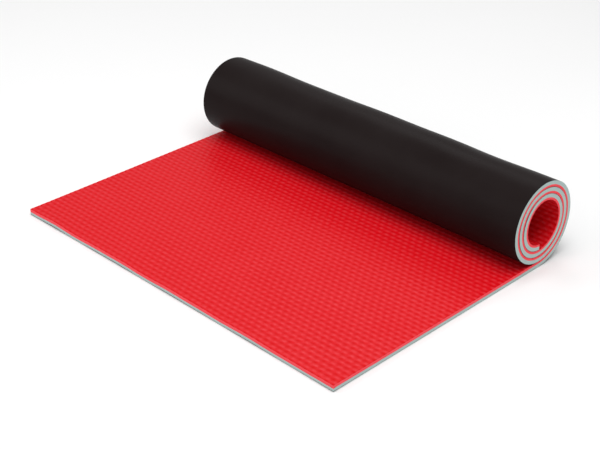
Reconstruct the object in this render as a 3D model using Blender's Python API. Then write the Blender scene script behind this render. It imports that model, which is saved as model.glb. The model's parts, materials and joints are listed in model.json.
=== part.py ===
"""Roll-up gym mat of three bonded layers: half laid flat, the rest wound into a three-turn roll.

Frame: metres, +Z up, +X across the mat, +Y from the near edge towards the roll. The origin is the
centre of the footprint, on the floor.

The wound stretch is a chain of short curved segments. Each segment turns on a line on the black
outer surface, so opening the roll only parts the segments on their inner, red side.
"""

import math

import bpy

# Driving dimensions, in metres.
MAT_WIDTH = 0.600
FLAT_LENGTH = 0.390
ROLL_RADIUS = 0.0645
BACKING_THICKNESS = 0.0006
CORE_THICKNESS = 0.0045
TOP_THICKNESS = 0.0030
TURNS = 3

# Clearances between solids that touch on the real mat.
LAYER_GAP = 0.0003
TURN_GAP = 0.0003
SEGMENT_GAP = 0.0004

# How finely the roll is divided.
SEGMENTS_PER_TURN = 6
FACETS_PER_SEGMENT = 8

# Each layer's inner and outer faces, as heights above the floor on the flat stretch.
CORE_BOTTOM = BACKING_THICKNESS + LAYER_GAP
CORE_TOP = CORE_BOTTOM + CORE_THICKNESS
TOP_BOTTOM = CORE_TOP + LAYER_GAP
SHEET_THICKNESS = TOP_BOTTOM + TOP_THICKNESS

# The roll is the involute of a small circle, so its turns keep one pitch all round.
PITCH = SHEET_THICKNESS + TURN_GAP
BASE_RADIUS = PITCH / math.tau
SEGMENT_COUNT = TURNS * SEGMENTS_PER_TURN
SEGMENT_ANGLE = math.tau / SEGMENTS_PER_TURN

# The roll reaches farthest from the near edge a quarter turn after it leaves the floor.
ROLL_REACH = ROLL_RADIUS + BASE_RADIUS * (1 - math.pi / 2)
NEAR_EDGE_Y = -(FLAT_LENGTH + ROLL_REACH) / 2
ROLL_START_Y = NEAR_EDGE_Y + FLAT_LENGTH

COLLECTION_NAME = "roll_up_gym_mat"
LAYERS = {
    "backing": (0.0, BACKING_THICKNESS),
    "foam_core": (CORE_BOTTOM, CORE_TOP),
    "top_layer": (TOP_BOTTOM, SHEET_THICKNESS),
}
# Colour, roughness and metallic value of each layer.
FINISHES = {
    "backing": ((0.028, 0.025, 0.025, 1.0), 0.55, 0.0),
    "foam_core": ((0.42, 0.50, 0.47, 1.0), 0.80, 0.0),
    "top_layer": ((0.78, 0.035, 0.045, 1.0), 0.60, 0.0),
}


def clear_scene():
    for obj in list(bpy.data.objects):
        bpy.data.objects.remove(obj, do_unlink=True)


def make_collection():
    collection = bpy.data.collections.new(COLLECTION_NAME)
    bpy.context.scene.collection.children.link(collection)
    return collection


def make_material(layer):
    colour, roughness, metallic = FINISHES[layer]
    material = bpy.data.materials.new(f"{layer}_material")
    material.use_nodes = True
    material.diffuse_color = colour
    shader = material.node_tree.nodes["Principled BSDF"]
    shader.inputs["Base Color"].default_value = colour
    shader.inputs["Roughness"].default_value = roughness
    shader.inputs["Metallic"].default_value = metallic
    return material


def spiral_radius(turned):
    """Radius of curvature of the black outer surface where it has turned by this angle."""
    return ROLL_RADIUS - BASE_RADIUS * turned


def spiral_point(turned, inward):
    """(y, z) where the sheet has turned by this angle, this far inward of its black outer surface."""
    radius = spiral_radius(turned) - inward
    y = ROLL_START_Y + radius * math.sin(turned) + BASE_RADIUS * (1 - math.cos(turned))
    z = ROLL_RADIUS - radius * math.cos(turned) - BASE_RADIUS * math.sin(turned)
    return y, z


def hinge_point(index):
    """(y, z) of the hinge line that segment number index turns on."""
    return spiral_point(index * SEGMENT_ANGLE, 0.0)


def segment_outline(index, inner, outer):
    """Closed outline of one layer of a segment: its outer face, then its inner face backwards."""
    start = index * SEGMENT_ANGLE
    end = start + SEGMENT_ANGLE
    start_cut = SEGMENT_GAP / 2 / spiral_radius(start)
    end_cut = SEGMENT_GAP / 2 / spiral_radius(end)
    steps = [start + SEGMENT_ANGLE * i / FACETS_PER_SEGMENT for i in range(FACETS_PER_SEGMENT + 1)]
    steps[0] += start_cut
    # The sheet's free end has no neighbour to clear.
    if index < SEGMENT_COUNT - 1:
        steps[-1] -= end_cut
    outer_face = [spiral_point(turned, outer) for turned in steps]
    inner_face = [spiral_point(turned, inner) for turned in reversed(steps)]
    return outer_face + inner_face


def make_segment(layer, index, collection, material, hinge):
    """One layer of one segment: a flat outline drawn across the mat and extruded over its width."""
    outer, inner = LAYERS[layer]
    hinge_y, hinge_z = hinge_point(index)
    outline = segment_outline(index, inner, outer)
    name = f"{layer}_roll_{index + 1:02d}"
    curve = bpy.data.curves.new(name, "CURVE")
    curve.dimensions = "2D"
    curve.fill_mode = "BOTH"
    curve.extrude = MAT_WIDTH / 2
    spline = curve.splines.new("POLY")
    spline.points.add(len(outline) - 1)
    for point, (y, z) in zip(spline.points, outline):
        point.co = (y - hinge_y, z - hinge_z, 0.0, 1.0)
    spline.use_cyclic_u = True
    curve.materials.append(material)
    obj = bpy.data.objects.new(name, curve)
    # The curve's own x, y and z then run along the frame's Y, Z and X.
    obj.rotation_euler = (math.pi / 2, 0.0, math.pi / 2)
    obj.parent = hinge
    collection.objects.link(obj)
    return obj


def make_hinge(index, collection, parent):
    """An empty on a segment's hinge line, held by the segment before it."""
    hinge = bpy.data.objects.new(f"hinge_{index + 1:02d}", None)
    hinge.empty_display_type = "SINGLE_ARROW"
    hinge.empty_display_size = ROLL_RADIUS / 2
    y, z = hinge_point(index)
    if parent is None:
        hinge.location = (0.0, y, z)
    else:
        before_y, before_z = hinge_point(index - 1)
        hinge.location = (0.0, y - before_y, z - before_z)
        hinge.parent = parent
    collection.objects.link(hinge)
    return hinge


def make_flat_layer(layer, collection, material):
    """One layer of the stretch that lies flat: a thin slab from the near edge to the roll."""
    bottom, top = LAYERS[layer]
    far_y = ROLL_START_Y - SEGMENT_GAP / 2
    length = far_y - NEAR_EDGE_Y
    bpy.ops.mesh.primitive_cube_add(size=1.0, location=(0.0, (NEAR_EDGE_Y + far_y) / 2, (bottom + top) / 2))
    slab = bpy.context.active_object
    slab.name = f"{layer}_flat"
    slab.data.name = slab.name
    slab.dimensions = (MAT_WIDTH, length, top - bottom)
    bpy.ops.object.transform_apply(location=False, rotation=False, scale=True)
    slab.data.materials.append(material)
    for holder in list(slab.users_collection):
        holder.objects.unlink(slab)
    collection.objects.link(slab)
    return slab


def build_mat():
    clear_scene()
    collection = make_collection()
    materials = {layer: make_material(layer) for layer in LAYERS}
    for layer in LAYERS:
        make_flat_layer(layer, collection, materials[layer])
    hinge = None
    for index in range(SEGMENT_COUNT):
        hinge = make_hinge(index, collection, hinge)
        for layer in LAYERS:
            make_segment(layer, index, collection, materials[layer], hinge)


build_mat()
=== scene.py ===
"""Looks of a roll-up gym mat: one sheet of three bonded layers, part laid flat and part wound up.

Metres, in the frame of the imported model: +X across the mat, +Y from its near edge towards the roll,
+Z up. A place on the sheet is said as across (along X), along (from the near edge, measured on the
black underside) and depth (from the black underside towards the red face).
"""

import json
import logging
import math
from dataclasses import dataclass
from enum import Enum
from typing import Optional, Union

import bpy
import numpy as np
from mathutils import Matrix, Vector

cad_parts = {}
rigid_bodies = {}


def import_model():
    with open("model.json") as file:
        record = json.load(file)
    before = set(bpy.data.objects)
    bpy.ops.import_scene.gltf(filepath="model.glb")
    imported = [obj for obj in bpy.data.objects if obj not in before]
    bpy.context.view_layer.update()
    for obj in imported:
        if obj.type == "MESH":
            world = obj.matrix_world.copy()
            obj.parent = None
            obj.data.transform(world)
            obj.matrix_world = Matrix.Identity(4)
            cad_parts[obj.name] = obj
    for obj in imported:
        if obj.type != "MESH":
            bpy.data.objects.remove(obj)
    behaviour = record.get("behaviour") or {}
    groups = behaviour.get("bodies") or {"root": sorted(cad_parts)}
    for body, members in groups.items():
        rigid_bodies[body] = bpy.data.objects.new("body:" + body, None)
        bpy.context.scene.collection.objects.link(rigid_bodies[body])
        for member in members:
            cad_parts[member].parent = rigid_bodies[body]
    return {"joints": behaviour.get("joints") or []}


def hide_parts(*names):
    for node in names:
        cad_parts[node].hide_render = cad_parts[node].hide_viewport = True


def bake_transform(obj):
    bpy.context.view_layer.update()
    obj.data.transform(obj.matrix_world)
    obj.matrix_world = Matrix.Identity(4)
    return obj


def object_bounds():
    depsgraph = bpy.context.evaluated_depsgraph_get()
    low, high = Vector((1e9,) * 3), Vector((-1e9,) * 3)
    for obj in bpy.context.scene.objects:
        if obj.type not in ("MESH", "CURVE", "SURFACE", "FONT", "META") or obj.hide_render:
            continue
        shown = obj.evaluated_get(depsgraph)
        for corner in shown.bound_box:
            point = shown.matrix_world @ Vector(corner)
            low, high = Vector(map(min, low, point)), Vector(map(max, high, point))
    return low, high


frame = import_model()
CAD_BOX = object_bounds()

log = logging.getLogger("gym_mat")

SHEET_MAP = "sheet"
MILLIMETRE = 0.001
# The frame divides each turn of the roll between this many hinges.
HINGES_PER_TURN = 6
# Far less than the distance between any two points of the mesh.
TINY = 1e-9
NOISE_ROUGHNESS = 0.55


class Face(Enum):
    """What kind of surface a face of a layer is."""

    SKIN = 0
    CUT = 1


# ---------------------------------------------------------------- shader graph


class Wire:
    """A value on its way from one shader node to another, usable in Python expressions."""

    def __init__(self, graph: "Graph", socket: bpy.types.NodeSocket) -> None:
        """Args: graph: the graph it belongs to. socket: the output it comes from."""
        self.graph = graph
        self.socket = socket

    def maths(self, operation: str, *others: "Term") -> "Wire":
        """Adds one Math node with this wire as its first input.

        Args:
            operation: the Math node's operation.
            others: its other inputs, wires or numbers.

        Returns:
            The node's result.
        """
        return self.graph.maths(operation, self, *others)

    def __add__(self, other: "Term") -> "Wire":
        """self + other."""
        return self.maths("ADD", other)

    def __radd__(self, other: "Term") -> "Wire":
        """other + self."""
        return self.maths("ADD", other)

    def __sub__(self, other: "Term") -> "Wire":
        """self - other."""
        return self.maths("SUBTRACT", other)

    def __rsub__(self, other: "Term") -> "Wire":
        """other - self."""
        return self.graph.maths("SUBTRACT", other, self)

    def __mul__(self, other: "Term") -> "Wire":
        """self * other."""
        return self.maths("MULTIPLY", other)

    def __rmul__(self, other: "Term") -> "Wire":
        """other * self."""
        return self.maths("MULTIPLY", other)

    def __pow__(self, other: "Term") -> "Wire":
        """self ** other."""
        return self.maths("POWER", other)


Term = Union[Wire, float]
Value = Union[Wire, float, str, tuple]


class Graph:
    """The node tree of one material, with its Principled shader ready to be fed."""

    # A Mix node's sockets share their names, so its colour ones are told apart by number.
    MIX_SHARE = 0
    MIX_FIRST = 6
    MIX_SECOND = 7
    MIX_RESULT = 2

    def __init__(self, name: str) -> None:
        """Args: name: the material's name."""
        self.material = bpy.data.materials.new(name)
        self.material.use_nodes = True
        self.tree = self.material.node_tree
        self.shader = self.tree.nodes["Principled BSDF"]

    def node(
        self,
        kind: str,
        settings: Optional[dict] = None,
        values: Optional[dict] = None,
        output: Union[int, str] = 0,
    ) -> Wire:
        """Adds any node.

        Args:
            kind: the node's type.
            settings: its own settings, set first.
            values: what its input sockets hold or take, by name or number.
            output: which output to return.

        Returns:
            That output.
        """
        node = self.tree.nodes.new(kind)
        for key, value in (settings or {}).items():
            setattr(node, key, value)
        for key, value in (values or {}).items():
            self._fill(node.inputs[key], value)
        return Wire(self, node.outputs[output])

    def maths(self, operation: str, *terms: Term) -> Wire:
        """A Math node on these terms."""
        return self.node("ShaderNodeMath", {"operation": operation}, dict(enumerate(terms)))

    def mix(self, share: Term, first: Value, second: Value) -> Wire:
        """A colour that goes from first to second as share goes from 0 to 1."""
        inputs = {self.MIX_SHARE: share, self.MIX_FIRST: first, self.MIX_SECOND: second}
        return self.node("ShaderNodeMix", {"data_type": "RGBA"}, inputs, self.MIX_RESULT)

    def feed(self, **values: Value) -> None:
        """Feeds the Principled shader; an input's name has its blanks as underscores."""
        for key, value in values.items():
            self._fill(self.shader.inputs[key.replace("_", " ")], value)

    def _fill(self, socket: bpy.types.NodeSocket, value: Value) -> None:
        """Links a wire to a socket, or sets a constant on it."""
        if isinstance(value, Wire):
            self.tree.links.new(value.socket, socket)
        else:
            socket.default_value = value


Colour = tuple[float, float, float, float]


# ---------------------------------------------------------------- shape of the sheet


@dataclass(frozen=True)
class SheetPath:
    """Where the sheet runs: flat along the floor, then wound in turns of one even pitch."""

    width: float
    flat_length: float
    near_y: float
    start_y: float
    roll_radius: float
    pitch: float
    segment_angle: float
    segments: int

    @classmethod
    def from_frame(cls, joints: list, box: tuple) -> "SheetPath":
        """Reads the driving sizes off the frame.

        Args:
            joints: the frame's hinges, in order from the flat stretch to the inner end.
            box: lowest and highest corner of the whole object.

        Returns:
            The path.
        """
        low, high = box
        hinges = [joint["pos_m"] for joint in joints]
        pitch = hinges[HINGES_PER_TURN][2] - hinges[0][2]
        top_of_turn = hinges[HINGES_PER_TURN // 2][2]
        return cls(
            width=high.x - low.x,
            flat_length=hinges[0][1] - low.y,
            near_y=low.y,
            start_y=hinges[0][1],
            roll_radius=(top_of_turn + pitch / 2) / 2,
            pitch=pitch,
            segment_angle=math.tau / HINGES_PER_TURN,
            segments=len(joints),
        )

    @property
    def creep(self) -> float:
        """How much the radius of curvature shrinks for each radian turned."""
        return self.pitch / math.tau

    @property
    def end_angle(self) -> float:
        """How far the sheet has turned at its inner end."""
        return self.segments * self.segment_angle

    def radius(self, turned: np.ndarray) -> np.ndarray:
        """Radius of curvature of the black underside where the sheet has turned this far."""
        return self.roll_radius - self.creep * turned

    def along(self, turned: float) -> float:
        """Distance along the sheet at which it has turned this far."""
        return self.flat_length + self.roll_radius * turned - self.creep * turned**2 / 2

    def turned(self, along: np.ndarray) -> np.ndarray:
        """How far the sheet has turned at this distance along it: 0 on the flat stretch."""
        wound = np.maximum(along - self.flat_length, 0.0)
        root = np.sqrt(np.maximum(self.roll_radius**2 - 2 * self.creep * wound, 0.0))
        return (self.roll_radius - root) / self.creep

    def place(self, across: np.ndarray, along: np.ndarray, depth: np.ndarray) -> np.ndarray:
        """Points of the sheet.

        Args:
            across: distance from the mat's mid line.
            along: distance from the near edge.
            depth: distance from the black underside.

        Returns:
            The points, with x, y and z along the last axis.
        """
        angle = self.turned(along)
        radius = self.radius(angle) - depth
        ahead = np.minimum(along - self.flat_length, 0.0)
        y = self.start_y + ahead + radius * np.sin(angle) + self.creep * (1 - np.cos(angle))
        z = self.roll_radius - radius * np.cos(angle) - self.creep * np.sin(angle)
        return np.stack(np.broadcast_arrays(across, y, z), axis=-1)


@dataclass(frozen=True)
class Emboss:
    """Ribs across the mat, parted by shallow grooves with a pit at every other place along them."""

    rib_pitch: float = 8.53 * MILLIMETRE
    pit_pitch: float = 11.46 * MILLIMETRE
    groove_depth: float = 0.12 * MILLIMETRE
    pit_depth: float = 0.30 * MILLIMETRE
    crown_height: float = 0.12 * MILLIMETRE
    crown_lean: float = 0.35
    crown_level: float = 0.62
    crown_swing: float = 0.38
    pit_mask_power: float = 1.3

    def relief(self, across: np.ndarray, along: np.ndarray) -> np.ndarray:
        """How far the red face lies below its highest crowns."""
        groove = 0.5 + 0.5 * np.cos(math.tau * along / self.rib_pitch)
        column = np.cos(math.tau * across / self.pit_pitch)
        row = math.pi * along / self.rib_pitch
        pit_and_shade = groove * (0.5 + 0.5 * column * np.cos(row))
        lean = np.sin(row - self.crown_lean)
        crown_and_highlight = (1 - groove) * (self.crown_level + self.crown_swing * column * lean)
        low = self.groove_depth * groove**2 + self.pit_depth * pit_and_shade**2
        return low + self.crown_height * (1 - crown_and_highlight)

    def masks(self, graph: Graph, across: Wire, along: Wire) -> tuple[Wire, Wire, Wire]:
        """The same pattern in shader nodes.

        Args:
            graph: the material's graph.
            across: distance from the mid line.
            along: distance from the near edge.

        Returns:
            How far into a groove, into a pit and up a crown, each from 0 to 1; the red finish uses
            them to paint shade in grooves and pits and a highlight on crowns.
        """
        groove = 0.5 + 0.5 * graph.maths("COSINE", along * (math.tau / self.rib_pitch))
        column = graph.maths("COSINE", across * (math.tau / self.pit_pitch))
        row = along * (math.pi / self.rib_pitch)
        pit_and_shade = groove * (0.5 + 0.5 * (column * graph.maths("COSINE", row)))
        lean = graph.maths("SINE", row - self.crown_lean)
        crown_and_highlight = (1.0 - groove) * (self.crown_level + self.crown_swing * (column * lean))
        return groove**2.0, pit_and_shade**self.pit_mask_power, crown_and_highlight


@dataclass(frozen=True)
class Ripple:
    """A wave across the mat, which shifts sideways by its twist as the sheet turns."""

    share: float
    length: float
    phase: float
    twist: float = 0.0

    def height(self, across: np.ndarray, angle: np.ndarray) -> np.ndarray:
        """How high the wave stands, as a share of the whole unevenness."""
        return self.share * np.sin(across * math.tau / self.length + self.twist * angle + self.phase)


@dataclass(frozen=True)
class Settling:
    """The gentle unevenness that a soft sheet takes on: lumps in the roll and a wavy near edge."""

    rise: float = 0.45 * MILLIMETRE
    lump: float = 0.55 * MILLIMETRE
    lumps: tuple[Ripple, ...] = (
        Ripple(share=1.0, length=0.31, phase=1.3, twist=1.0),
        Ripple(share=0.45, length=0.17, phase=5.4, twist=-2.0),
        Ripple(share=0.40, length=0.125, phase=3.0, twist=3.0),
    )
    edge_lift: float = 0.75 * MILLIMETRE
    edge_reach: float = 0.030
    edge_level: float = 1.15
    edge_waves: tuple[Ripple, ...] = (
        Ripple(share=1.0, length=0.135, phase=0.6),
        Ripple(share=0.5, length=0.078, phase=2.0),
    )
    edge_lift_at_right: float = 0.35
    sway: float = 0.45 * MILLIMETRE
    slow_sway: float = 0.9
    slow_sway_phase: float = 0.5
    slow_sway_share: float = 0.6
    fast_sway: float = 2.3
    corner_flare: float = 5.2 * MILLIMETRE
    corner_inset: float = 1.2 * MILLIMETRE
    flare_reach: float = 0.120

    def inward(self, path: SheetPath, across: np.ndarray, along: np.ndarray) -> np.ndarray:
        """How far the whole sheet is moved in the direction of its depth.

        Every turn takes the same lumps at the same side of the roll, so the turns stay nested.
        """
        angle = path.turned(along)
        weight = (1 - np.cos(angle)) / 2
        lumps = sum(ripple.height(across, angle) for ripple in self.lumps)
        leftness = 0.5 - across / path.width
        waves = sum((ripple.height(across, angle) for ripple in self.edge_waves), self.edge_level)
        at_right = self.edge_lift_at_right
        lift = self.edge_lift * (at_right + (1 - at_right) * leftness) * np.maximum(waves, 0.0)
        return weight * (self.lump * lumps - self.rise) + lift * np.exp(-along / self.edge_reach)

    def sideways(self, path: SheetPath, along: np.ndarray) -> np.ndarray:
        """How far the turns are shifted along the roll, as they never wind quite true."""
        angle = path.turned(along)
        fade = np.minimum(angle / math.pi, 1.0)
        slow = self.slow_sway_share * np.sin(self.slow_sway * angle + self.slow_sway_phase)
        fast = (1 - self.slow_sway_share) * np.sin(self.fast_sway * angle)
        return self.sway * fade * (slow + fast)

    def outward(self, path: SheetPath, across: np.ndarray, along: np.ndarray) -> np.ndarray:
        """How far the near edge runs out beyond a square cut, most at its right corner."""
        rightness = 0.5 + across / path.width
        fade = np.clip(1 - along / self.flare_reach, 0.0, 1.0)
        return (self.corner_flare * rightness**2 - self.corner_inset) * fade**2


@dataclass(frozen=True)
class BladeDrag:
    """A blade pulls the soft red layer down over the core along the edges that it cuts."""

    near: float = 1.7 * MILLIMETRE
    side: float = 1.0 * MILLIMETRE
    near_reach: float = 6.0 * MILLIMETRE
    side_reach: float = 20.0 * MILLIMETRE
    fade_length: float = 0.060
    fade_beyond_flat: float = 0.010

    def drop(self, path: SheetPath, across: np.ndarray, along: np.ndarray) -> np.ndarray:
        """How far the join of red layer and core is pulled down; the roll's ends keep it true."""
        beside = np.clip(1 - (path.width / 2 - np.abs(across)) / self.side_reach, 0.0, 1.0)
        before = np.clip(1 - along / self.near_reach, 0.0, 1.0)
        fade_end = path.flat_length + self.fade_beyond_flat
        fade = np.clip((fade_end - along) / self.fade_length, 0.0, 1.0)
        return np.maximum(self.side * beside * fade**2 * (3 - 2 * fade), self.near * before)


@dataclass(frozen=True)
class Strip:
    """A stretch of the sheet between two cuts, made as one piece in each layer."""

    number: int
    begin: float
    end: float
    bodies: tuple[str, str]
    bend_start: tuple[float, float, float]
    bend_end: tuple[float, float, float]
    stands_for: tuple[str, ...]
    is_last: bool


class Cutting:
    """How the sheet is cut into strips, each lying across one hinge of the frame."""

    # Bending spread over this many radii leaves the opened sheet flattest.
    BEND_LENGTH_IN_RADII = 2.7
    # The first hinge opens half as far as the others and only on its roll side.
    FIRST_BEND_IN_RADII = (-0.1, 1.1)

    def __init__(self, path: SheetPath, joints: list) -> None:
        """Args: path: where the sheet runs. joints: the frame's hinges, in order."""
        self.path = path
        self.joints = joints

    def strips(self) -> list[Strip]:
        """All strips, from the flat one to the one at the inner end."""
        last = self.path.segments - 1
        return [self._strip(number, number == last) for number in range(last + 1)]

    def _strip(self, number: int, is_last: bool) -> Strip:
        """The strip across hinge number, counted from 0 at the end of the flat stretch."""
        path = self.path
        angle = number * path.segment_angle
        half = path.segment_angle / 2
        joint = self.joints[number]
        radius = float(path.radius(np.float64(angle)))
        if number == 0:
            reach = [share * radius for share in self.FIRST_BEND_IN_RADII]
        else:
            reach = [side * self.BEND_LENGTH_IN_RADII * radius / 2 for side in (-1, 1)]
        bend = [self._beside_hinge(joint["pos_m"], angle, length) for length in reach]
        bodies = (joint["parent"], joint["child"])
        return Strip(
            number=number,
            begin=0.0 if number == 0 else path.along(angle - half),
            end=path.along(path.end_angle) if is_last else path.along(angle + half),
            bodies=bodies,
            bend_start=bend[0],
            bend_end=bend[1],
            stands_for=bodies if is_last else bodies[:1],
            is_last=is_last,
        )

    @staticmethod
    def _beside_hinge(hinge: list, angle: float, length: float) -> tuple[float, float, float]:
        """The point this far from a hinge, in the direction that the sheet runs there."""
        return (0.0, hinge[1] + length * math.cos(angle), hinge[2] + length * math.sin(angle))


# ---------------------------------------------------------------- finishes


@dataclass(frozen=True)
class EmbossedFoam:
    """The red face: closed foam skin, with a painted highlight on its crowns and painted shade in its
    grooves and pits.
    """

    flank: Colour = (0.68, 0.003, 0.010, 1.0)
    mottle: Colour = (0.65, 0.001, 0.006, 1.0)
    # Painted highlight: the lighter, pinker colour of the crowns.
    crown_and_highlight: Colour = (0.71, 0.035, 0.046, 1.0)
    # Painted shade: the darker colour of the grooves and pits.
    pit_and_shade: Colour = (0.60, 0.001, 0.003, 1.0)
    roughness: float = 0.38
    gloss: float = 0.11
    mottle_size: float = 0.055
    uneven_size: float = 0.0045
    grain_size: float = 0.0011

    def material(self, emboss: Emboss) -> bpy.types.Material:
        """The finish, following this emboss."""
        graph = Graph("red_embossed_foam")
        across, along, spot = sheet_place(graph)
        groove, pit_and_shade, crown_and_highlight = emboss.masks(graph, across, along)
        broad = noise(graph, spot, size=self.mottle_size, detail=3.0)
        uneven = noise(graph, spot, size=self.uneven_size, detail=2.0)
        grain = noise(graph, spot, size=self.grain_size, detail=2.0)
        # Painted shade mask: grooves and pits, darkened below towards the darker pit colour.
        low = 0.35 * groove + 0.65 * pit_and_shade
        colour = graph.mix(broad, self.flank, self.mottle)
        # Painted highlight on the crowns, broken up by random tone from the noise.
        high = 0.85 * crown_and_highlight + 0.90 * (uneven - 0.5) + 0.30 * (grain - 0.5)
        colour = graph.mix(high, colour, self.crown_and_highlight)
        colour = graph.mix(low + 0.20 * (grain - 0.5), colour, self.pit_and_shade)
        relief = 0.5 * crown_and_highlight - low + 0.30 * grain
        bump = graph.node(
            "ShaderNodeBump",
            values={"Strength": 0.35, "Distance": 0.12 * MILLIMETRE, "Height": relief},
        )
        graph.feed(
            Base_Color=colour,
            Roughness=self.roughness + 0.16 * (broad - 0.5) + 0.10 * pit_and_shade,
            Normal=bump,
            Specular_IOR_Level=self.gloss,
        )
        return graph.material


@dataclass(frozen=True)
class CutFoam:
    """Foam where a blade has cut it: matte, with the cells laid open."""

    name: str
    wall: Colour
    # Painted shade: the darker colour in the hollows of the open cells.
    cell_shade: Colour
    cell_size: float = 0.55 * MILLIMETRE
    streak_size: float = 0.012
    roughness: float = 0.86

    def material(self) -> bpy.types.Material:
        """The finish."""
        graph = Graph(self.name)
        _, _, spot = sheet_place(graph)
        cells = graph.node(
            "ShaderNodeTexVoronoi",
            {"feature": "F1"},
            {"Vector": spot, "Scale": 1.0 / self.cell_size},
            "Distance",
        )
        streak = noise(graph, spot, size=self.streak_size, detail=2.0)
        # Painted shade: the cell hollows are darkened towards the darker cell colour, with random
        # streaks.
        hollow = (1.0 - cells) ** 3.0
        colour = graph.mix(0.55 * hollow + 0.35 * (streak - 0.5), self.wall, self.cell_shade)
        bump = graph.node(
            "ShaderNodeBump",
            values={"Strength": 0.6, "Distance": 0.10 * MILLIMETRE, "Height": cells},
        )
        graph.feed(
            Base_Color=colour,
            Roughness=self.roughness + 0.08 * (streak - 0.5),
            Normal=bump,
            Specular_IOR_Level=0.3,
        )
        return graph.material


@dataclass(frozen=True)
class BlackSkin:
    """The underside: a thin satin skin with a fine grip grain."""

    base: Colour = (0.0112, 0.0074, 0.0073, 1.0)
    lighter_blotch: Colour = (0.0212, 0.0162, 0.0159, 1.0)
    roughness: float = 0.37
    gloss: float = 0.035
    blotch_size: float = 0.09
    grain_size: float = 0.8 * MILLIMETRE

    def material(self) -> bpy.types.Material:
        """The finish."""
        graph = Graph("black_grip_skin")
        _, _, spot = sheet_place(graph)
        broad = noise(graph, spot, size=self.blotch_size, detail=3.0)
        grain = noise(graph, spot, size=self.grain_size, detail=3.0)
        cells = graph.node(
            "ShaderNodeTexVoronoi",
            {"feature": "SMOOTH_F1"},
            {"Vector": spot, "Scale": 1.0 / self.grain_size, "Smoothness": 0.6},
            "Distance",
        )
        # Lighter in broad random blotches and in the grain.
        colour = graph.mix(0.6 * broad + 0.25 * (grain - 0.5), self.base, self.lighter_blotch)
        bump = graph.node(
            "ShaderNodeBump",
            values={
                "Strength": 0.30,
                "Distance": 0.06 * MILLIMETRE,
                "Height": cells + 0.4 * grain,
            },
        )
        graph.feed(
            Base_Color=colour,
            Roughness=self.roughness + 0.14 * (broad - 0.5) + 0.06 * (grain - 0.5),
            Normal=bump,
            Specular_IOR_Level=self.gloss,
        )
        return graph.material


def sheet_place(graph: Graph) -> tuple[Wire, Wire, Wire]:
    """Where a shaded point lies on the sheet.

    Args:
        graph: the material's graph.

    Returns:
        Its distance across, its distance along, and both as a vector, in metres.
    """
    spot = graph.node("ShaderNodeUVMap", {"uv_map": SHEET_MAP}, output="UV")
    across = graph.node("ShaderNodeSeparateXYZ", values={"Vector": spot}, output="X")
    along = Wire(graph, across.socket.node.outputs["Y"])
    return across, along, spot


def noise(graph: Graph, spot: Wire, size: float, detail: float) -> Wire:
    """Smooth noise from 0 to 1 whose largest blotches are about this size across."""
    return graph.node(
        "ShaderNodeTexNoise",
        {"noise_dimensions": "2D"},
        {"Vector": spot, "Scale": 1.0 / size, "Detail": detail, "Roughness": NOISE_ROUGHNESS},
    )


# ---------------------------------------------------------------- meshes


class Slab:
    """A closed mesh gathered patch by patch, with a normal and a sheet place at each face corner."""

    def __init__(self) -> None:
        """Starts empty."""
        self.points: list[np.ndarray] = []
        self.faces: list[list[int]] = []
        self.normals: list[np.ndarray] = []
        self.places: list[np.ndarray] = []
        self.kinds: list[int] = []
        self.count = 0

    def add_points(self, points: np.ndarray) -> np.ndarray:
        """Adds a grid of points and returns the grid of their numbers."""
        shape = points.shape[:-1]
        numbers = np.arange(self.count, self.count + int(np.prod(shape))).reshape(shape)
        self.points.append(points.reshape(-1, 3))
        self.count += numbers.size
        return numbers

    def add_faces(
        self,
        corners: np.ndarray,
        normals: np.ndarray,
        places: np.ndarray,
        kind: Face,
    ) -> None:
        """Adds faces that all have the same number of corners.

        Args:
            corners: point numbers, one row for each face.
            normals: a normal for each corner.
            places: a sheet place for each corner.
            kind: what surface the faces are.
        """
        self.faces += corners.tolist()
        self.normals.append(np.broadcast_to(normals, corners.shape + (3,)).reshape(-1, 3))
        self.places.append(np.broadcast_to(places, corners.shape + (2,)).reshape(-1, 2))
        self.kinds += [kind.value] * len(corners)

    def to_object(self, name: str, materials: list[bpy.types.Material]) -> bpy.types.Object:
        """Makes the mesh object.

        Args:
            name: the object's name.
            materials: one for each kind of face.

        Returns:
            The object, in the scene.
        """
        mesh = bpy.data.meshes.new(name)
        mesh.from_pydata(np.concatenate(self.points), [], self.faces)
        mesh.polygons.foreach_set("material_index", self.kinds)
        mesh.polygons.foreach_set("use_smooth", [True] * len(self.faces))
        layer = mesh.uv_layers.new(name=SHEET_MAP)
        layer.data.foreach_set("uv", np.concatenate(self.places).astype(np.float32).ravel())
        for material in materials:
            mesh.materials.append(material)
        mesh.normals_split_custom_set(np.concatenate(self.normals))
        mesh.validate()
        thing = bpy.data.objects.new(name, mesh)
        bpy.context.scene.collection.objects.link(thing)
        return thing


def quads(grid: np.ndarray) -> np.ndarray:
    """The four corners of each cell of a grid, counter-clockwise with columns to the right."""
    corners = (grid[:-1, :-1], grid[:-1, 1:], grid[1:, 1:], grid[1:, :-1])
    return np.stack(corners, axis=2).reshape((-1, 4) + grid.shape[2:])


@dataclass(frozen=True)
class Rows:
    """Rows of points across a strip: how far along each is, and whether it is on the tongue."""

    along: np.ndarray
    tongue: np.ndarray


@dataclass(frozen=True)
class Tongue:
    """A hidden flap under the next strip, which fills the slit that opens when the mat is unrolled."""

    length: float = 3.4 * MILLIMETRE
    tuck: float = 0.12 * MILLIMETRE
    side_tuck: float = 0.30 * MILLIMETRE


@dataclass(frozen=True)
class CutEdge:
    """The slight rounding that a blade leaves along an embossed face."""

    reach: float = 0.40 * MILLIMETRE
    drop: float = 0.22 * MILLIMETRE

    def rounding(self, edge: np.ndarray) -> np.ndarray:
        """How far the face has dropped at this distance from its nearest edge."""
        return self.drop * np.clip(1 - edge / self.reach, 0.0, 1.0) ** 2


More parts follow.
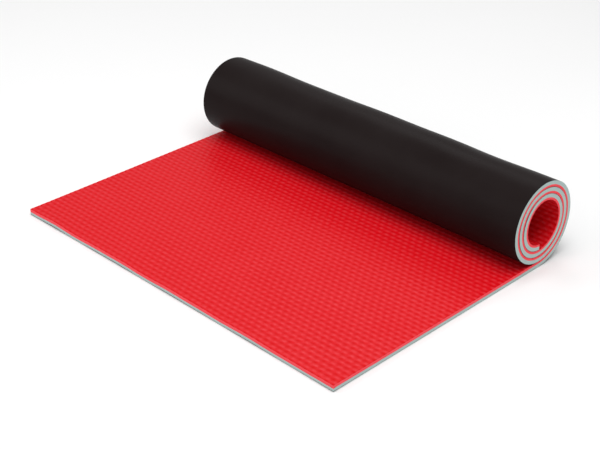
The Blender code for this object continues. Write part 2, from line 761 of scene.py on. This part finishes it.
@dataclass(frozen=True)
class Layer:
    """One bonded layer of the sheet: its depths, its finish and how finely it is meshed."""

    name: str
    low: float
    high: float
    path: SheetPath
    settling: Settling
    skin: bpy.types.Material
    cut: bpy.types.Material
    columns: int = 30
    hidden_columns: int = 30
    flat_step: float = 6.0 * MILLIMETRE
    wound_step: float = 1.8 * MILLIMETRE
    fine_before_roll: float = 4.0 * MILLIMETRE
    normal_step: float = 0.05 * MILLIMETRE
    tongue: Optional[Tongue] = None
    drag_above: Optional[BladeDrag] = None
    drag_below: Optional[BladeDrag] = None
    emboss: Optional[Emboss] = None
    edge: CutEdge = CutEdge()
    lower_face: Face = Face.CUT

    def make(self, strip: Strip) -> bpy.types.Object:
        """Builds this layer of a strip, dresses it and hides the CAD parts that it stands for.

        Args:
            strip: the stretch of the sheet.

        Returns:
            The piece.
        """
        slab = Slab()
        rows = self._rows(strip)
        shown, hidden = self._columns()
        top = self._face(slab, rows, shown, is_upper=True)
        bottom = self._face(slab, rows, hidden, is_upper=False)
        self._sides(slab, rows, top, bottom)
        self._cap(slab, rows, 0, (top, shown), (bottom, hidden), is_cut=strip.number == 0)
        self._cap(slab, rows, -1, (top, shown), (bottom, hidden), is_cut=strip.is_last)
        piece = slab.to_object(f"{self.name}_strip_{strip.number:02d}", [self.skin, self.cut])
        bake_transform(piece)
        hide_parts(*(self._node(body) for body in strip.stands_for))
        return piece

    def _node(self, body: str) -> str:
        """The CAD node of this layer on a body."""
        return f"{self.name}_{body.replace('flat_part', 'flat')}"

    def _rows(self, strip: Strip) -> Rows:
        """Where the rows of points lie along a strip, which is coarser where the sheet is flat.

        Args:
            strip: the stretch of the sheet.

        Returns:
            The rows, with the tongue's last.
        """
        fine_from = self.path.flat_length - self.fine_before_roll
        flat_end = min(max(fine_from, strip.begin), strip.end)
        stops = [np.array([strip.begin])]
        for begin, end, step in (
            (strip.begin, flat_end, self.flat_step),
            (flat_end, strip.end, self.wound_step),
        ):
            count = math.ceil((end - begin) / step)
            stops.append(np.linspace(begin, end, count + 1)[1:])
        along = np.concatenate(stops)
        drag = self.drag_above or self.drag_below
        if drag and strip.number == 0:
            along = np.union1d(along, [drag.near_reach])
        if self.emboss and strip.number == 0:
            along = np.insert(along, 1, self.edge.reach)
        if self.emboss and strip.is_last:
            along = np.insert(along, -1, strip.end - self.edge.reach)
        tongue = np.zeros_like(along)
        if self.tongue and not strip.is_last:
            extra = strip.end + self.tongue.length * np.array([0.0, 0.5, 1.0])
            along = np.concatenate([along, extra])
            tongue = np.concatenate([tongue, np.ones(len(extra))])
        return Rows(along, tongue)

    def _columns(self) -> tuple[np.ndarray, np.ndarray]:
        """Where the columns of points lie across: on the shown face, and on the hidden one."""
        half = self.path.width / 2
        shown = np.linspace(-half, half, self.columns + 1)
        if self.emboss:
            inner = half - self.edge.reach
            shown = np.concatenate([shown[:1], [-inner], shown[1:-1], [inner], shown[-1:]])
        return shown, np.linspace(-half, half, self.hidden_columns + 1)

    def _points(
        self,
        across: np.ndarray,
        along: np.ndarray,
        tongue: np.ndarray,
        is_upper: bool,
    ) -> np.ndarray:
        """Points of the upper or the lower face.

        Args:
            across: distance of each from the mat's mid line.
            along: distance of each from the near edge.
            tongue: 1 on the tongue, 0 elsewhere.
            is_upper: which face.

        Returns:
            The points.
        """
        half = self.path.width / 2
        depth = np.full(across.shape, self.high if is_upper else self.low)
        if self.tongue:
            across = across * (1 - tongue * self.tongue.side_tuck / half)
        if is_upper and self.emboss:
            sheet_end = self.path.along(self.path.end_angle)
            edge = np.minimum(half - np.abs(across), np.minimum(along, sheet_end - along))
            depth -= self.emboss.relief(across, along) + self.edge.rounding(edge)
            depth -= self.tongue.tuck * tongue
        drag = self.drag_above if is_upper else self.drag_below
        if drag:
            depth -= drag.drop(self.path, across, along)
        depth += self.settling.inward(self.path, across, along)
        ahead = along - self.settling.outward(self.path, across, along)
        return self.path.place(across + self.settling.sideways(self.path, along), ahead, depth)

    def _face(self, slab: Slab, rows: Rows, columns: np.ndarray, is_upper: bool) -> np.ndarray:
        """Adds the upper or the lower face.

        Args:
            slab: the mesh so far.
            rows: the strip's rows.
            columns: the face's columns.
            is_upper: which face.

        Returns:
            The grid of its points' numbers.
        """
        across, along = np.meshgrid(columns, rows.along)
        tongue = np.broadcast_to(rows.tongue[:, None], across.shape)
        numbers = slab.add_points(self._points(across, along, tongue, is_upper))
        step = self.normal_step
        lengthwise = self._points(across, along + step, tongue, is_upper)
        lengthwise -= self._points(across, along - step, tongue, is_upper)
        crosswise = self._points(across + step, along, tongue, is_upper)
        crosswise -= self._points(across - step, along, tongue, is_upper)
        normal = np.cross(crosswise, lengthwise)
        normal /= np.linalg.norm(normal, axis=-1, keepdims=True)
        corners, normals = quads(numbers), quads(normal)
        places = quads(np.stack([across, along], axis=-1))
        onto_tongue = np.diff(rows.tongue) > 0
        is_step = np.repeat(onto_tongue, len(columns) - 1)
        normals[is_step] = self._heading(rows.along[np.argmax(onto_tongue)])
        if not is_upper:
            corners, normals, places = corners[:, ::-1], -normals[:, ::-1], places[:, ::-1]
        slab.add_faces(corners, normals, places, Face.SKIN if is_upper else self.lower_face)
        return numbers

    def _heading(self, along: float) -> np.ndarray:
        """The direction in which the sheet runs at this place."""
        angle = float(self.path.turned(np.float64(along)))
        return np.array([0.0, math.cos(angle), math.sin(angle)])

    def _sides(self, slab: Slab, rows: Rows, top: np.ndarray, bottom: np.ndarray) -> None:
        """Adds the two long cut edges.

        Args:
            slab: the mesh so far.
            rows: the strip's rows.
            top: numbers of the upper face's points.
            bottom: numbers of the lower face's points.
        """
        depth = np.array([self.low, self.high])
        for column, side in ((0, -1.0), (-1, 1.0)):
            wall = np.stack([bottom[:, column], top[:, column]], axis=1)
            spots = np.stack(np.meshgrid(depth + side, rows.along), axis=-1)
            corners, places = quads(wall), quads(spots)
            if side > 0:
                corners, places = corners[:, ::-1], places[:, ::-1]
            slab.add_faces(corners, np.array([side, 0.0, 0.0]), places, Face.CUT)

    def _cap(
        self,
        slab: Slab,
        rows: Rows,
        row: int,
        upper: tuple[np.ndarray, np.ndarray],
        lower: tuple[np.ndarray, np.ndarray],
        is_cut: bool,
    ) -> None:
        """Closes one end of the strip.

        Args:
            slab: the mesh so far.
            rows: the strip's rows.
            row: the row at that end.
            upper: numbers of the upper face's points, and its columns.
            lower: numbers of the lower face's points, and its columns.
            is_cut: whether the mat really ends here, or only the strip does.
        """
        top, shown = upper
        bottom, hidden = lower
        normal = self._heading(rows.along[row]) * (-1.0 if row == 0 else 1.0)
        pick = np.searchsorted(shown, hidden - TINY)
        for left in range(len(hidden) - 1):
            above = slice(pick[left], pick[left + 1] + 1)
            corners = np.concatenate([bottom[row, left : left + 2], top[row, above][::-1]])
            across = np.concatenate([hidden[left : left + 2], shown[above][::-1]])
            depth = np.concatenate([[self.low] * 2, [self.high] * (len(corners) - 2)])
            beyond = -depth if is_cut else np.full(len(corners), rows.along[row])
            places = np.stack([across, beyond], axis=-1)
            if row != 0:
                corners, places = corners[::-1], places[::-1]
            kind = Face.CUT if is_cut else Face.SKIN
            slab.add_faces(corners[None], normal, places[None], kind)


@dataclass(frozen=True)
class Mat:
    """The whole sheet: black backing, pale foam core and embossed red top layer."""

    path: SheetPath
    strips: list[Strip]
    settling: Settling = Settling()
    emboss: Emboss = Emboss()
    drag: BladeDrag = BladeDrag()
    tongue: Tongue = Tongue()
    backing_thickness: float = 0.15 * MILLIMETRE
    top_share: float = 0.39
    # The turns press on each other, so hardly any air is left between them.
    turn_clearance: float = 0.08 * MILLIMETRE
    red_columns: int = 330
    rows_per_rib: int = 5

    @property
    def thickness(self) -> float:
        """The thickness of the sheet as wound."""
        return self.path.pitch - self.turn_clearance

    @property
    def core_top(self) -> float:
        """The depth at which core and top layer meet."""
        return self.thickness * (1 - self.top_share)

    def backing(self) -> Layer:
        """The black underside."""
        black = BlackSkin().material()
        return Layer(
            "backing",
            0.0,
            self.backing_thickness,
            self.path,
            self.settling,
            skin=black,
            cut=black,
            lower_face=Face.SKIN,
        )

    def foam_core(self) -> Layer:
        """The pale foam in the middle, seen only where it is cut."""
        cut = CutFoam("pale_cut_foam", (0.45, 0.565, 0.545, 1.0), (0.31, 0.41, 0.395, 1.0))
        pale = cut.material()
        return Layer(
            "foam_core",
            self.backing_thickness,
            self.core_top,
            self.path,
            self.settling,
            skin=pale,
            cut=pale,
            tongue=self.tongue,
            drag_above=self.drag,
        )

    def top_layer(self) -> Layer:
        """The red layer with its embossed face."""
        step = self.emboss.rib_pitch / self.rows_per_rib
        cut = CutFoam("red_cut_foam", (0.97, 0.080, 0.100, 1.0), (0.78, 0.035, 0.050, 1.0))
        return Layer(
            "top_layer",
            self.core_top,
            self.thickness,
            self.path,
            self.settling,
            skin=EmbossedFoam().material(self.emboss),
            cut=cut.material(),
            columns=self.red_columns,
            flat_step=step,
            wound_step=step,
            tongue=self.tongue,
            drag_below=self.drag,
            emboss=self.emboss,
        )

    def build(self) -> None:
        """Makes every layer of every strip."""
        for layer in (self.backing(), self.foam_core(), self.top_layer()):
            for strip in self.strips:
                piece = layer.make(strip)
                bend = " to ".join(strip.bodies)
                log.info("%s: %d faces, bends from %s", piece.name, len(piece.data.polygons), bend)


# ---------------------------------------------------------------- studio


@dataclass(frozen=True)
class SoftBox:
    """A large, soft studio light."""

    name: str
    place: tuple[float, float, float]
    aim: tuple[float, float, float]
    size: float
    watts: float


@dataclass(frozen=True)
class Studio:
    """A pale floor, soft light all round and a camera that looks down along one corner."""

    camera_place: tuple[float, float, float] = (1.1668, -1.1582, 0.9258)
    camera_tilt: float = 60.9135
    camera_heading: float = 44.800
    focal_length: float = 81.307
    sensor_width: float = 36.0
    floor_size: float = 12.0
    floor_gap: float = 0.4 * MILLIMETRE
    floor_shade: float = 0.97
    floor_colour: Colour = (0.90, 0.90, 0.90, 1.0)
    surround: Colour = (1.0, 1.0, 1.0, 1.0)
    surround_strength: float = 0.49
    boxes: tuple[SoftBox, ...] = (
        SoftBox("overhead_softbox", (0.55, -0.20, 2.35), (0.0, 0.0, 0.05), 1.9, 40.5),
        SoftBox("left_softbox", (-1.9, -1.5, 1.5), (0.0, -0.05, 0.05), 1.8, 15.0),
        SoftBox("back_softbox", (-1.4, 1.75, 2.15), (0.0, 0.1, 0.05), 1.3, 7.5),
    )

    def build(self) -> None:
        """Sets up the floor, the lights and the camera."""
        self._floor()
        self._surround()
        for box in self.boxes:
            self._light(box)
        self._camera()
        bpy.context.scene.view_settings.view_transform = "Standard"

    def _floor(self) -> None:
        """A pale, matte floor with a trace of unevenness."""
        bpy.ops.mesh.primitive_plane_add(size=self.floor_size, location=(0.0, 0.0, -self.floor_gap))
        floor = bpy.context.active_object
        floor.name = "studio_floor"
        graph = Graph("pale_floor")
        spot = graph.node("ShaderNodeTexCoord", output="Object")
        haze = noise(graph, spot, size=0.8, detail=2.0)
        darker = tuple(part * self.floor_shade for part in self.floor_colour[:3]) + (1.0,)
        graph.feed(Base_Color=graph.mix(haze, self.floor_colour, darker), Roughness=0.9)
        floor.data.materials.append(graph.material)

    def _surround(self) -> None:
        """Even light from all sides."""
        world = bpy.data.worlds.new("studio_surround")
        world.use_nodes = True
        background = world.node_tree.nodes["Background"]
        background.inputs["Color"].default_value = self.surround
        background.inputs["Strength"].default_value = self.surround_strength
        bpy.context.scene.world = world

    @staticmethod
    def _light(box: SoftBox) -> None:
        """One soft box, turned towards its aim."""
        lamp = bpy.data.lights.new(box.name, "AREA")
        lamp.shape = "DISK"
        lamp.size = box.size
        lamp.energy = box.watts
        thing = bpy.data.objects.new(box.name, lamp)
        thing.location = box.place
        towards = np.array(box.aim) - np.array(box.place)
        thing.rotation_euler = (
            math.atan2(math.hypot(towards[0], towards[1]), -towards[2]),
            0.0,
            math.atan2(-towards[0], towards[1]),
        )
        bpy.context.scene.collection.objects.link(thing)

    def _camera(self) -> None:
        """The camera."""
        lens = bpy.data.cameras.new("studio_camera")
        lens.sensor_width = self.sensor_width
        lens.lens = self.focal_length
        camera = bpy.data.objects.new("studio_camera", lens)
        camera.location = self.camera_place
        tilt, heading = math.radians(self.camera_tilt), math.radians(self.camera_heading)
        camera.rotation_euler = (tilt, 0.0, heading)
        bpy.context.scene.collection.objects.link(camera)
        bpy.context.scene.camera = camera


def main() -> None:
    """Builds the mat and the studio, and notes the sheet's length, its roll radius and the faces of
    each piece.
    """
    logging.basicConfig(level=logging.INFO, format="%(name)s: %(message)s")
    path = SheetPath.from_frame(frame["joints"], CAD_BOX)
    log.info("sheet %.3f m long, roll radius %.4f m", path.along(path.end_angle), path.roll_radius)
    Studio().build()
    Mat(path, Cutting(path, frame["joints"]).strips()).build()


if __name__ == "__main__":
    main()
